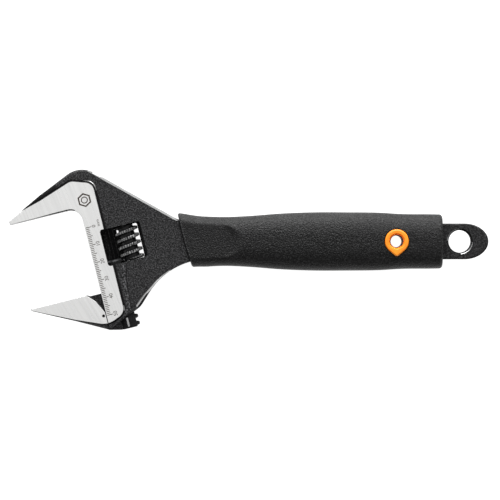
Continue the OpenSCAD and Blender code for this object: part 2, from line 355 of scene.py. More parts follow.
def triangulate(points, crisp, loop):
    """Points and triangles inside the loop, all the same way round. The loop comes first in
    points. It and the crisp lines, given as (line, place of its first point), keep their edges."""
    edges = []
    for line, start in [(loop, 0)] + crisp:
        edges += [(start + i, start + (i + 1) % len(line)) for i in range(len(line))]
    out = delaunay_2d_cdt([tuple(p) for p in points.tolist()], edges, [], 0, 1e-5, False)
    xy = np.array([tuple(v) for v in out[0]])
    tri = np.array([f for f in out[2] if len(f) == 3])
    tri = tri[inside(xy[tri].mean(1), loop)]
    side = np.cross(xy[tri[:, 1]] - xy[tri[:, 0]], xy[tri[:, 2]] - xy[tri[:, 0]])
    tri = tri[np.abs(side) > 1e-9]
    side = side[np.abs(side) > 1e-9]
    tri[side < 0] = tri[side < 0][:, ::-1]
    used, order = np.unique(tri, return_inverse=True)
    return xy[used], order.reshape(tri.shape)


def relief(name, loop, style, height, extra, crisp, grid=1.7):
    """Forged body with mirrored faces. style gives each loop point its edge width, the height of
    its rim and how straight its edge slopes; height(points) is the face without its edges."""
    normals = inward(loop)
    points = [loop]
    for share in (0.05, 0.15, 0.3, 0.5, 0.7, 0.85, 1.0, 1.2):
        ring = loop + normals * style[:, :1] * share
        points.append(ring[inside(ring, loop) & (gap_to(ring, loop) > 0.9 * share * style[:, 0])])
    points.append(inner_points(hex_grid(loop, grid), loop, style,
                               lambda gap, width: gap > 1.2 * width + 0.4 * grid))
    for more in extra:
        points.append(inner_points(more, loop, style, lambda gap, width: gap > 0.1 + 0.3 * width))
    lines = []
    for line in crisp:
        lines.append((line, sum(len(p) for p in points)))
        points.append(line)
    xy, tri = triangulate(np.concatenate(points), lines, loop)
    gap, at = to_loop(xy, loop, style)
    t = np.clip(gap / at[:, 0], 0, 1)
    bend = 0.88
    soft = np.sqrt(1 - (1 - t) ** 2)
    straight = np.minimum(t / bend, 1) * (1 - 0.06 * np.exp(-((t - bend) / 0.08) ** 2))
    rise = soft * (1 - at[:, 2]) + straight * at[:, 2]
    z = at[:, 1] + (height(xy) - at[:, 1]) * rise
    edges = [(f[k - 1], f[k]) for f in tri.tolist() for k in (1, 2, 0)]
    seen = set(edges)
    rim = [(a, b) for a, b in edges if (b, a) not in seen]
    total = len(xy)
    top = np.hstack([xy, z[:, None]])
    bottom = np.hstack([xy, -z[:, None]])
    faces = tri.tolist() + (tri[:, ::-1] + total).tolist()
    faces += [(b, a, a + total, b + total) for a, b in rim]
    return to_object(name, np.concatenate([top, bottom]), faces)


def dress(obj, materials, choose):
    """Gives each face one of the materials; choose(centres, normals) returns their indices."""
    mesh = obj.data
    mesh.materials.clear()
    for m in materials:
        mesh.materials.append(m)
    centre = np.zeros(len(mesh.polygons) * 3)
    normal = np.zeros(len(mesh.polygons) * 3)
    mesh.polygons.foreach_get("center", centre)
    mesh.polygons.foreach_get("normal", normal)
    picked = choose(centre.reshape(-1, 3) / MM, normal.reshape(-1, 3))
    mesh.polygons.foreach_set("material_index", picked.astype(np.int32))
    mesh.update()


def shade(obj, angle=32):
    mesh = obj.data
    mesh.shade_smooth()
    mesh.set_sharp_from_angle(angle=math.radians(angle))


def plain(obj, material, angle=32):
    obj.data.materials.clear()
    obj.data.materials.append(material)
    shade(obj, angle)


# ---- materials

def shader_of(name, color, metallic, roughness, specular=0.5):
    mat = bpy.data.materials.new(name)
    mat.use_nodes = True
    inputs = mat.node_tree.nodes["Principled BSDF"].inputs
    inputs["Base Color"].default_value = (*np.broadcast_to(color, 3), 1)
    inputs["Metallic"].default_value = metallic
    inputs["Roughness"].default_value = roughness
    inputs["Specular IOR Level"].default_value = specular
    return mat


def noise(mat, cell, detail=3.0, turn=0.0, kind="ShaderNodeTexNoise"):
    """Noise in the piece's own frame; cell is its grain in millimetres, or that along each axis."""
    tree = mat.node_tree
    coords = tree.nodes.new("ShaderNodeTexCoord")
    mapping = tree.nodes.new("ShaderNodeMapping")
    mapping.vector_type = "TEXTURE"
    mapping.inputs["Scale"].default_value = [s * MM for s in np.broadcast_to(cell, 3)]
    mapping.inputs["Rotation"].default_value = (0, 0, turn)
    texture = tree.nodes.new(kind)
    texture.inputs["Scale"].default_value = 1
    texture.inputs["Detail"].default_value = detail
    tree.links.new(coords.outputs["Object"], mapping.inputs["Vector"])
    tree.links.new(mapping.outputs["Vector"], texture.inputs["Vector"])
    return texture.outputs[0]


def drive(mat, name, value, low, high, start=0.3, end=0.7):
    """Drives a shader input by a noise value, mapped onto numbers or colours."""
    tree = mat.node_tree
    ramp = tree.nodes.new("ShaderNodeValToRGB")
    ramp.color_ramp.elements[0].position = start
    ramp.color_ramp.elements[1].position = end
    for stop, level in zip(ramp.color_ramp.elements, (low, high)):
        stop.color = (*np.broadcast_to(level, 3), 1)
    tree.links.new(value, ramp.inputs["Fac"])
    tree.links.new(ramp.outputs["Color"], tree.nodes["Principled BSDF"].inputs[name])


def bump(mat, height, strength, depth, under=None):
    """Adds bump of a depth in millimetres, over any bump below it."""
    tree = mat.node_tree
    node = tree.nodes.new("ShaderNodeBump")
    node.inputs["Strength"].default_value = strength
    node.inputs["Distance"].default_value = depth * MM
    tree.links.new(height, node.inputs["Height"])
    if under is not None:
        tree.links.new(under, node.inputs["Normal"])
    tree.links.new(node.outputs["Normal"], tree.nodes["Principled BSDF"].inputs["Normal"])
    return node.outputs["Normal"]


def grained(name, color, metallic, roughness, cell, tones, rough, bumps, detail=3, turn=0.0,
            stops=(0.3, 0.7), specular=0.5):
    """Material whose colour, roughness and bump all follow one noise."""
    mat = shader_of(name, color, metallic, roughness, specular)
    grain = noise(mat, cell, detail, turn)
    drive(mat, "Base Color", grain, *tones, *stops)
    drive(mat, "Roughness", grain, *rough)
    bump(mat, grain, *bumps)
    return mat


def coating(name="black_coating", tone=1.0):
    """Fine-textured black coating of the forging."""
    mat = shader_of(name, (0.03, 0.03, 0.031), 0, 0.5, 0.2)
    grain = noise(mat, 0.62, 1)
    cloud = noise(mat, 9, 2)
    high = 0.063 * tone
    drive(mat, "Base Color", grain, (0.002, 0.002, 0.0022), (high, high, high * 1.03), 0.43, 0.7)
    drive(mat, "Roughness", cloud, 0.44, 0.56)
    bump(mat, grain, 0.7, 0.2, under=bump(mat, cloud, 0.2, 0.2))
    return mat


def shadowed_steel():
    """Near-black steel: painted shade inside the window, the bores and the grooves, along dark lines and on the
    blade's web; also the index dot's own black.
    """
    return grained("shadowed_steel", 0.008, 0, 0.75, 0.8, (0.003, (0.014, 0.014, 0.0145)),
                   (0.65, 0.85), (0.3, 0.05), specular=0.08)


def trimmed_edge(name="trimmed_edge", tone=1.0):
    """Satin steel of the trimmed forging edge, also laid on small spots as painted highlights."""
    mat = shader_of(name, 0.45, 0.8, 0.4)
    grain = noise(mat, 0.6)
    cloud = noise(mat, (5, 5, 2), 2)
    drive(mat, "Base Color", cloud, 0.34 * tone, 0.6 * tone)
    drive(mat, "Roughness", grain, 0.34, 0.5)
    bump(mat, grain, 0.3, 0.06)
    return mat


def ground_steel(turn):
    """Bright steel with fine grinding lines that run at an angle to X."""
    mat = shader_of("ground_steel", (0.88, 0.88, 0.87), 0.8, 0.36)
    fine = noise(mat, (22, 0.16, 22), 2, turn)
    broad = noise(mat, (45, 1.1, 45), 2, turn)
    drive(mat, "Base Color", broad, (0.85, 0.85, 0.845), (0.93, 0.93, 0.92))
    drive(mat, "Roughness", fine, 0.27, 0.42)
    bump(mat, fine, 0.25, 0.02)
    return mat


def turned_steel():
    """Dark polished steel of the rod."""
    return grained("turned_steel", (0.04, 0.04, 0.042), 0.7, 0.22, (8, 0.3, 8),
                   ((0.028, 0.028, 0.03), (0.055, 0.055, 0.057)), (0.18, 0.28), (0.1, 0.02),
                   detail=2, turn=head_tilt)


def worm_steel():
    """Blackened steel of the worm."""
    return grained("worm_steel", 0.02, 0.4, 0.42, 0.7,
                   ((0.006, 0.006, 0.0065), (0.028, 0.028, 0.029)), (0.34, 0.5), (0.25, 0.05),
                   specular=0.25)


def worn_crest():
    """Steel of the worm's crests, where the blackening is rubbed off; this lighter steel also stands in for the
    glints along the crests, a painted highlight.
    """
    return grained("worn_crest", 0.22, 0.8, 0.3, 0.8, (0.05, 0.42), (0.24, 0.4), (0.2, 0.05),
                   stops=(0.38, 0.62))


def rubber(name="soft_grip", tone=1.0):
    """Soft black sleeve with a fine leather grain."""
    mat = shader_of(name, 0.018, 0, 0.6, 0.25)
    cells = noise(mat, 1.2, kind="ShaderNodeTexVoronoi")
    grain = noise(mat, 0.66, 1)
    cloud = noise(mat, 22, 2)
    low, high = 0.001 * tone, 0.021 * tone
    drive(mat, "Base Color", grain, low, (high, high, high * 1.02), 0.47, 0.68)
    drive(mat, "Roughness", cloud, 0.42, 0.5)
    bump(mat, grain, 1.0, 0.45, under=bump(mat, cells, 0.5, 0.22))
    return mat


def orange_plastic():
    """Semi-gloss plastic of the tether collar."""
    mat = shader_of("orange_plastic", (1.0, 0.28, 0.008), 0, 0.4)
    cloud = noise(mat, 3, 2)
    grain = noise(mat, 0.3, 2)
    drive(mat, "Base Color", cloud, (0.98, 0.24, 0.006), (1.0, 0.31, 0.012))
    drive(mat, "Roughness", grain, 0.32, 0.46)
    bump(mat, grain, 0.15, 0.03)
    return mat


def satin_steel(name, tone, roughness):
    """Drawn or turned steel of the pin and spring."""
    return grained(name, tone, 1, roughness, (0.15, 5, 0.15), (tone * 0.8, tone * 1.15),
                   (roughness - 0.07, roughness + 0.07), (0.15, 0.02), detail=2, turn=head_tilt)


def hard_plastic():
    """Matte plastic of the liner."""
    return grained("hard_plastic", 0.02, 0, 0.5, 0.4, (0.013, 0.025), (0.42, 0.58), (0.2, 0.05))


def etched():
    """Brown-black laser marking."""
    return grained("etched_mark", (0.03, 0.022, 0.016), 0, 0.6, 0.2,
                   ((0.012, 0.008, 0.006), (0.07, 0.052, 0.04)), (0.5, 0.7), (0.2, 0.02),
                   detail=2, stops=(0.35, 0.75), specular=0.3)


def pale_floor():
    """Pale ground that glows, so that it comes out as white as the photograph's."""
    mat = shader_of("pale_floor", 0.5, 0, 0.9, 0.1)
    drive(mat, "Base Color", noise(mat, 400, 2), 0.34, 0.36)
    inputs = mat.node_tree.nodes["Principled BSDF"].inputs
    inputs["Emission Color"].default_value = (1, 1, 1, 1)
    inputs["Emission Strength"].default_value = 0.96
    return mat


# ---- forging

# Places in the list of materials. The movable jaw shares the first four. The bare steel also serves for painted
# highlights, the shadowed steel for painted shade, one lighter copy of the coating for painted highlights and the
# darker copy of the trimmed edge for painted shade.
COATED, GROUND, BARE_AND_HIGHLIGHT, SHADOWED, PAINTED_HIGHLIGHT_COAT, TAIL, DRAFT = range(7)
TURNED = 4


def forging_loop():
    """Side view of the whole forging, in the row frame."""
    tip = [(-JAW_REACH, FACE_C, 0.4), (-JAW_REACH, FACE_C + FIXED_TIP, 0.8)]
    head = tip + [(-20, 11.6, 20), (5.96, 22.76, 14)]
    foot = [(19.2, -62.2, 10), (0, -70.2, 1), (0, FACE_C, THROAT_R)]
    tail = [(TAIL_BEND + (TAIL_LENGTH - TAIL_BEND) * math.cos(a), SHANK_HALF * math.sin(a), 0)
            for a in np.radians(np.arange(90, -91, -4))]
    corners = [tuple(p) for p in from_head(head)] + [(-153.2, SHANK_HALF, 30)] + tail
    corners += [(-161.8, -SHANK_HALF, 39)] + [tuple(p) for p in from_head(foot)]
    return split(rounded(corners), 0.8)


def pad_loop():
    """Ground side of the fixed jaw and the scale strip, in the row frame."""
    corners = [(-41, -1.5, 0), (-41, 3, 0), (-20.4, 8.5, 20), (-1.5, 14.9, 5),
               (STRIP_WIDTH, 11, 5), (STRIP_WIDTH, -63.2, 5.5), (3, -66.1, 3), (-1, -66.8, 0),
               (-1, -8.5, 0)]
    return split(from_head(rounded(corners)), 0.8)


def rows(*columns):
    """A table from columns, any of which may be one number."""
    return np.stack(np.broadcast_arrays(*columns), 1)


def forging_style(loop):
    """Edge width, rim height and straightness for each point of the outline."""
    n, c = to_head(loop).T
    x, y = loop.T
    neck = (x > -156.5) & (n > 30)
    slant = 0.4 + 0.85 * ease((n - 6) / 7)
    style = rows(slant, DARK_Z - 3.0 * slant, 0.3 + 0.7 * ease((n - 7) / 4))
    under = (y < 0) & (n > 9)   # the trimmed lower edge widens towards its foot
    draft = 0.45 + 0.5 * ease((-46 - c) / 6) + 1.4 * ease((-53 - c) / 7)
    style[under] = rows(draft, DARK_Z - 1.3 * draft, 1)[under]
    style[neck] = (0.5, 5.2, 0.6)
    machined = (n < 0.6) & (c < 0.7) & (c > -69.5)   # throat edge and working face
    style[machined] = (0.28, PAD_Z - 0.25, 0)
    working = machined & (n < -3) & (c < FACE_C + 0.4)
    broad = 0.28 + 0.36 * ease((n + 32) / 22)
    style[working] = rows(broad, PAD_Z - 0.1 - broad, 1)[working]
    outer = (c > 0.7) & (n < 7)
    grow = ease((n + 35) / 25)
    style[outer] = rows(0.35 + grow, PAD_Z - 0.4 - 1.8 * grow, 0)[outer]
    foot = (c < -62) & (n < 18) & ~machined
    style[foot] = (1.3, 4.4, 0.3)
    style[x > SHANK_START_X] = (0.9, 3.1, 0)
    smooth = soften(style, loop, 3)
    keep = (n < -30) | working
    smooth[keep] = style[keep]
    return smooth


def ridge_n(c):
    """Where the low ridge below the window runs, beside the scale strip."""
    return np.interp(c, (-62, -45, -36), (13.0, 14.3, 16.4))


def grip_edge_x(y):
    """Front edge of the grip, seen from the scale side."""
    return GRIP_FRONT - y * math.tan(GRIP_LEAN)


def forging_height(points, pads):
    """Faces without their edges: ground pad, a fine groove round it, the coated face, a ridge."""
    n, c = to_head(points).T
    x = points[:, 0]
    gap = np.where(inside(points, pads), 0, gap_to(points, pads))
    z = DARK_Z + (PAD_Z - DARK_Z) * (1 - ease(gap / 0.25))
    z = z - 0.3 * np.exp(-((gap - 0.6) / 0.3) ** 2)
    below = ease((-37.5 - c) / 2) * ease((n - 10) / 1.5)
    z = z + 0.3 * below * np.exp(-((n - ridge_n(c)) / 1.1) ** 2)
    crest_n, crest_c = CRESCENT
    crest = np.exp(-((n - crest_n) ** 2 + (c - crest_c) ** 2) / 9)
    z = z + 0.3 * crest * np.exp(-((gap - 1.15) / 0.35) ** 2)
    return z + (SHANK_Z - z) * ease((x + 148) / 9)


def window_outline(left, grow, flare):
    """Window outline from a left edge, grown all round and flared towards the handle."""
    (_, low), (right, high) = WINDOW_LOW, WINDOW_HIGH
    x0, x1 = left - grow, right + grow + flare
    y0, y1 = low - grow, high + grow
    corners = [(x0, y0), (x1, y0), (x1, y1), (x0, y1)]
    return from_head(rounded([(x, y, WINDOW_ROUND) for x, y in corners], 12))


def window_tools():
    """Through window for the worm, and the sight cut beside it on the scale side."""
    over = 2.0
    deep, brim, out = WINDOW_THROAT_Z, DARK_Z - EDGE_BREAK, DARK_Z + over
    past = EDGE_BREAK + over
    wide = WINDOW_FLARE

    def layers(left, *steps):
        return [(window_outline(left, grow, flare), z) for grow, flare, z in steps]

    behind = prism("window", layers(SIGHT_EDGE, (past, wide, -out), (0, wide, -brim),
                                    (0, 0, -deep)))
    inner = from_head(rounded(WINDOW_THROUGH))
    through = prism("through", [(inner, -deep - 1), (inner, 1)])
    sight = prism("sight", layers(WINDOW_LOW[0], (0, 0, 0), (0, 0, deep), (0, wide, DARK_Z),
                                  (0, wide, PAD_Z - EDGE_BREAK), (past, wide, PAD_Z + over)))
    (notch_n, notch_c), top = NOTCH_LOW, WINDOW_THROUGH[-1][1]
    corners = [(notch_n, notch_c), (SIGHT_EDGE + 1, notch_c), (SIGHT_EDGE + 1, top), (notch_n, top)]
    notch = prism("notch", [(from_head(corners), -out), (from_head(corners), 1)])
    swing_r = WORM_R + 0.15
    foot = WINDOW_THROUGH[0][1]
    swing = lathe("swing", [(swing_r, 0), (swing_r, top - foot)], worm_n, foot)
    return behind, through, sight, notch, swing


def slide_tools():
    """Bore of the rod, slot of the web and way of the worm pin."""
    bore_r = ROD_R + SLIDE_GAP
    foot, slot_top, slot_n = SLIDE_CUT_FOOT, 0.3, -8
    bore = lathe("bore", [(bore_r, 0), (bore_r, BORE_TOP - foot)], ROD_N, foot)
    box = [(slot_n, foot), (ROD_N, foot), (ROD_N, slot_top), (slot_n, slot_top)]
    slot = prism("slot", [(from_head(box), -SLOT_Z), (from_head(box), SLOT_Z)])
    shoulder = PIN_FOOT + SCREW_LENGTH - PIN_CUT_FOOT
    profile = [(SCREW_R, 0), (SCREW_R, shoulder), (PIN_R, shoulder),
               (PIN_R, PIN_TOP - PIN_CUT_FOOT)]
    pin = lathe("pin_way", profile, worm_n, PIN_CUT_FOOT)
    return bore, slot, pin


def through_hole(name, x, radius, half, chamfer):
    """Chamfered hole. A ring half way up the chamfer lets its outer part take a painted highlight."""
    over = 2.0
    profile = [(radius + chamfer + over, half + over),
               (radius + 0.6 * chamfer, half - 0.4 * chamfer), (radius, half - chamfer)]
    below = [(r, -z) for r, z in profile]
    return upright(name, x, 0, below + profile[::-1])


def forging_blank(loop, style, pads):
    """The forging without its holes, with extra rings of points where a finish changes."""
    out = -inward(pads)
    rings = [pads + out * d for d in (0.13, 0.3, 0.6, 0.8, 1.0, 1.25, 1.5, 1.8, 2.5)]
    rings += [pads - out * 0.4]
    c = np.arange(-66, -37, 0.7)
    rings += [from_head(np.stack([ridge_n(c) + d, c], 1)) for d in np.arange(-3.2, 2.1, 0.6)]
    y = np.arange(-13, 13.1, 0.8)
    rings += [np.stack([grip_edge_x(y) + d, y], 1) for d in (-1.0, -0.45, -0.1)]
    return relief("forging", loop, style, lambda p: forging_height(p, pads), rings, [pads])


def face_facts(centre, normal, loop, style, pads):
    """Where each face of the forging lies, and how level it is."""
    n, c = to_head(centre).T
    x, y, z = centre[:, 0], centre[:, 1], np.abs(centre[:, 2])
    flat = centre[:, :2]
    gap, at = to_loop(flat, loop, style)
    on_pad = inside(flat, pads)
    in_window = (n > 7.5) & (n < 31) & (c > -36.5) & (c < -15) & (gap > 3)
    return SimpleNamespace(n=n, c=c, x=x, y=y, z=z, level=np.abs(normal[:, 2]), gap=gap,
                           width=at[:, 0], straight=at[:, 2], pad_gap=gap_to(flat, pads),
                           on_pad=on_pad, off_pad=~on_pad & (z > DARK_Z - 0.4), in_window=in_window)


def finish_round_pad(f, picked):
    """Painted shade in the groove round the ground pad, with a painted highlight on the crest and a painted
    highlight streak beside it.
    """
    groove = 0.6 + 0.9 * ease((9.5 - f.c) / 2) * ease(f.n / 3) + 0.35 * ease((2 - f.n) / 3)
    groove = groove - 0.3 * ease((-62 - f.c) / 2)
    # painted shade: near-black in the groove round the pad
    picked[f.off_pad & (f.pad_gap < groove) & (f.x < -170)] = SHADOWED
    # painted highlight: bare steel on the crest of the rim at the pad's corner
    near = np.clip(1 - np.hypot(f.n - CRESCENT[0], f.c - CRESCENT[1]) / 6, 0, 1)
    picked[f.off_pad & (np.abs(f.pad_gap - 1.1) < 0.45 * ease(near)) & (f.c > 4)] = BARE_AND_HIGHLIGHT
    # painted highlight: a short bright streak beside the pad
    streak = (np.abs(f.pad_gap - 0.5) < 0.3) & (np.abs(f.c + 60.6) < 1.4) & (f.n > 9)
    picked[f.off_pad & streak] = BARE_AND_HIGHLIGHT


def finish_ridge(f, picked):
    """Painted highlight: a lighter copy of the coating on the ridge below the window and on the band round the
    foot of the pad, with a painted shade line beside the ridge.
    """
    aside = f.n - ridge_n(f.c)
    below = f.off_pad & (f.c < -37) & (f.c > -62.5) & (f.gap > 1.5)
    # painted highlight along the ridge
    picked[below & (np.abs(aside) < 1.0)] = PAINTED_HIGHLIGHT_COAT
    foot_band = ~f.on_pad & (f.z > 4.6) & (np.abs(f.pad_gap - 1.95) < 0.65)
    picked[foot_band & (f.c < -61.5) & (f.n < 14)] = PAINTED_HIGHLIGHT_COAT
    # painted shade: a dark line on the ridge's far side
    picked[below & (np.abs(aside - 1.35) < 0.3)] = SHADOWED


def finish_edges(f, picked):
    """Trimmed strips along both edges of the head, with painted shade: a darker copy on the upper strip, where it
    faces the softbox, dark lines beside the strips, and a painted shadow where the grip meets the forging.
    """
    head, upper, lower = f.x < HEAD_END_X, f.y > 0, f.y < 0
    sloped = head & (f.gap < 0.93 * f.width) & (f.straight > 0.7) & (f.level > 0.15)
    # painted shade: a dark rim on the lower edge that widens towards its foot
    dark_rim = 1.1 * ease((-54 - f.c) / 3) * lower
    inner = head & (f.gap < f.width + 0.4) & (f.gap > f.width)
    # painted shade line just inside the upper strip
    picked[inner & upper & (f.n > 9)] = SHADOWED
    # painted shade: the upper strip, which faces the softbox, takes the darker copy of the trimmed edge
    picked[sloped & upper & (f.n > 6)] = DRAFT
    picked[sloped & lower & (f.n > 16) & (f.c < -46.5) & (f.gap > dark_rim)] = BARE_AND_HIGHLIGHT
    picked[sloped & lower & (f.n > 10) & (f.gap <= dark_rim)] = SHADOWED
    # painted shadow on the forging along the grip's front edge
    beside_grip = (f.x > grip_edge_x(f.y) - 0.55) & (f.x < SHANK_START_X)
    picked[beside_grip & (f.gap > 0.3)] = SHADOWED


def finish_window_and_pad(f, picked):
    """Painted shade on the walls of the window and on all faces in it below its rim, and the ground pad with its
    own edges.
    """
    wall = f.in_window & (f.level < 0.9)
    picked[wall] = SHADOWED
    picked[f.in_window & (f.z < 5.9)] = SHADOWED
    picked[f.on_pad & (f.z > PAD_Z - 0.3) & ~wall] = GROUND
    picked[f.on_pad & (f.gap < 0.35) & (f.width < 0.5)] = GROUND


def finish_fixed_jaw(f, picked):
    """Chamfer, working face and coated back of the fixed jaw, with painted shade on the chamfer towards the
    throat, on the band beside the pad and in the bore of the rod.
    """
    wall = f.level < 0.6
    chamfer = (f.gap < 0.6) & (f.n < -3) & (f.c < 0.4) & (f.level < 0.95)
    picked[chamfer] = BARE_AND_HIGHLIGHT
    # painted shade: the chamfer darkens towards the throat, first with the darker coating, then near-black
    picked[chamfer & (f.n > -35)] = TAIL
    picked[chamfer & (f.n > -15)] = SHADOWED
    # painted shade on the coated band beside the fixed jaw's pad
    picked[f.off_pad & (f.n < -10) & (f.c > 1)] = SHADOWED
    picked[wall & (f.gap < 0.05) & (f.c < FACE_C + 0.1) & (f.n < 0.2)] = BARE_AND_HIGHLIGHT
    picked[wall & (f.gap < 0.3) & (f.n < -10) & (f.c > FACE_C + 0.4)] = COATED
    # painted shade in the bore of the rod
    bore = wall & (np.hypot(f.n - ROD_N, f.z) < ROD_R + 0.2) & ~f.in_window
    picked[bore & (f.gap > 1)] = SHADOWED


def finish_tail(f, picked):
    """Tail in a darker copy of the coating, and painted shade on the chamfer of the hang hole with two painted
    highlight arcs.
    """
    picked[f.x > -20] = TAIL
    ring = np.hypot(f.x, f.y)
    chamfer = (ring < hang_r + HANG_CHAMFER) & (ring > hang_r - 0.1)
    # painted shade on the hang hole's chamfer
    picked[chamfer] = SHADOWED
    toward = np.cos(np.arctan2(f.y, f.x) - math.radians(135))
    # painted highlights: two light arcs on the chamfer's outer part
    picked[chamfer & (ring > hang_r + 0.56) & (np.abs(toward) > 0.75)] = BARE_AND_HIGHLIGHT


def make_forging():
    loop = forging_loop()
    pads = pad_loop()
    style = forging_style(loop)
    obj = forging_blank(loop, style, pads)
    cut(obj, *window_tools(), *slide_tools(),
        through_hole("hang", 0, hang_r, SHANK_Z, HANG_CHAMFER),
        through_hole("tether", tether_x, tether_r, SHANK_Z, 0.1))

    def choose(centre, normal):
        facts = face_facts(centre, normal, loop, style, pads)
        picked = np.full(len(centre), COATED)
        for finish in (finish_round_pad, finish_ridge, finish_edges, finish_window_and_pad,
                       finish_fixed_jaw, finish_tail):
            finish(facts, picked)
        return picked

    # The coating at tone 1.9 is a lighter copy for painted highlights, and the trimmed edge at 0.5 a darker copy
    # for painted shade; the tail takes a darker copy of the coating.
    dress(obj, [coating(), ground_steel(head_tilt + math.radians(98)), trimmed_edge(),
                shadowed_steel(), coating("painted_highlight_coating", 1.9),
                coating("tail_coating", 0.6), trimmed_edge("draft_edge", 0.5)], choose)
    shade(obj)
    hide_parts("body_forging")
    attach(obj, "frame")


# ---- movable jaw

def blade_loop():
    """Side view of the blade, in the row frame."""
    corners = [(-JAW_REACH, 0, 0), (-8, 0, 3), (-3.9, -4.2, 6), (-0.3, -11.5, 3),
               (-0.3, BLADE_FOOT, 1), (-17.7, -12.3, 30), (-JAW_REACH, -1.0, 0.4)]
    shifted = [(n, c + jaw_c, r) for n, c, r in corners]
    return split(from_head(rounded(shifted)), 0.6)


def blade_face():
    """Ground side of the blade. Below it the blade slopes away."""
    corners = [(-41, 1, 0), (-41, -0.2, 0), (-17.5, -11.55, 60), (-3.5, -17.4, 8), (1, -18.1, 0),
               (1, 1, 0)]
    return split(from_head([p + (0, jaw_c) for p in rounded(corners)]), 0.6)


def blade_height(points, face):
    gap = np.where(inside(points, face), 0, gap_to(points, face))
    return BLADE_Z - 0.3 * ease(gap / 0.3) - 0.95 * gap


def blade_style(loop, face):
    n, c = to_head(loop).T
    under = c - jaw_c < -0.45 * (n + JAW_REACH) - 0.2
    style = np.tile((0.28, BLADE_Z - 0.25, 0.0), (len(loop), 1))
    style[under, 0] = np.clip(0.25 + 0.03 * (n + 35), 0.25, 0.9)[under]
    style[under, 1] = blade_height(loop, face)[under] - style[under, 0]
    return style


def web_solid():
    """Plate that joins the blade to the rod."""
    top, root, half = -0.9, -9, 3
    corners = [(root, top), (ROD_N, top), (ROD_N, ROD_FOOT), (6, ROD_FOOT + 0.2),
               (-0.3, BLADE_FOOT), (root, -17)]
    loop = from_head([(n, c + jaw_c) for n, c in corners])
    return prism("web", [(loop, -half), (loop, half)])


def rack_tools():
    """Spaces between the rack teeth, leaning with the thread."""
    tools = []
    inner, outer = RACK_ROOT_N, ROD_N + ROD_R + 1
    ends = (-11, 11)
    for i in range(RACK_SPACES):
        level = RACK_FIRST - i * lead + jaw_c
        rings = []
        for z in ends:
            shift = level + z * math.tan(RACK_LEAN)
            ring = from_head([(inner, shift - SPACE_ROOT_HALF), (outer, shift - SPACE_TIP_HALF),
                              (outer, shift + SPACE_TIP_HALF), (inner, shift + SPACE_ROOT_HALF)])
            rings.append(np.hstack([ring, np.full((4, 1), z)]))
        tools.append(loft("space", rings))
    return tools


def make_jaw():
    loop = blade_loop()
    face = blade_face()
    style = blade_style(loop, face)
    away = -inward(face)
    rings = [face + away * d for d in (0.1, 0.3, 0.8, 1.5, 2.4)] + [face - away * 0.4]
    obj = relief("jaw", loop, style, lambda p: blade_height(p, face), rings, [face], 1.4)
    chamfer = 1.0
    shown = 6.0          # a ring here parts the rod's visible foot from its rack
    rod = lathe("rod", [(ROD_R - chamfer, 0), (ROD_R, chamfer), (ROD_R, shown),
                        (ROD_R, ROD_LENGTH - chamfer), (ROD_R - chamfer, ROD_LENGTH)],
                ROD_N, ROD_FOOT + jaw_c)
    cut(rod, *rack_tools())
    join_with(obj, web_solid(), "UNION")
    join_with(obj, rod, "UNION")

    def choose(centre, normal):
        n, c = to_head(centre).T
        z = np.abs(centre[:, 2])
        level = (z > BLADE_Z - 0.12) & (np.abs(normal[:, 2]) > 0.9)
        on_face = (n < 0) & level & inside(centre[:, :2], face)
        working = (c > jaw_c - 0.1) & (n < -9)
        line_below = (gap_to(centre[:, :2], face) < 0.55) & (n > -30)
        root = (n > -16) & (c > jaw_c - 12)
        web = n > 0
        on_rod = (np.hypot(n - ROD_N, z) > ROD_R - 1.4) & (n >= ROD_N - 4.4)
        # painted highlight: a strip of bare steel along the rod's foot
        glint = on_rod & (np.abs(n - ROD_N + 0.9) < 0.5) & (z > 4.9) & (c < jaw_c - 17.5)
        picked = np.full(len(centre), COATED)
        # painted shade below the ground face, at the blade's root and on the web; the rod's foot takes the same
        # near-black
        picked[line_below | root | web] = SHADOWED
        picked[on_rod & (c > jaw_c)] = TURNED
        picked[glint] = BARE_AND_HIGHLIGHT
        picked[on_face] = GROUND
        picked[working & ~level] = BARE_AND_HIGHLIGHT
        return picked

    dress(obj, [coating(), ground_steel(head_tilt + math.radians(108)), trimmed_edge(),
                shadowed_steel(), turned_steel()], choose)
    shade(obj)
    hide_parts("movable_jaw")
    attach(obj, "jaw")


# ---- worm

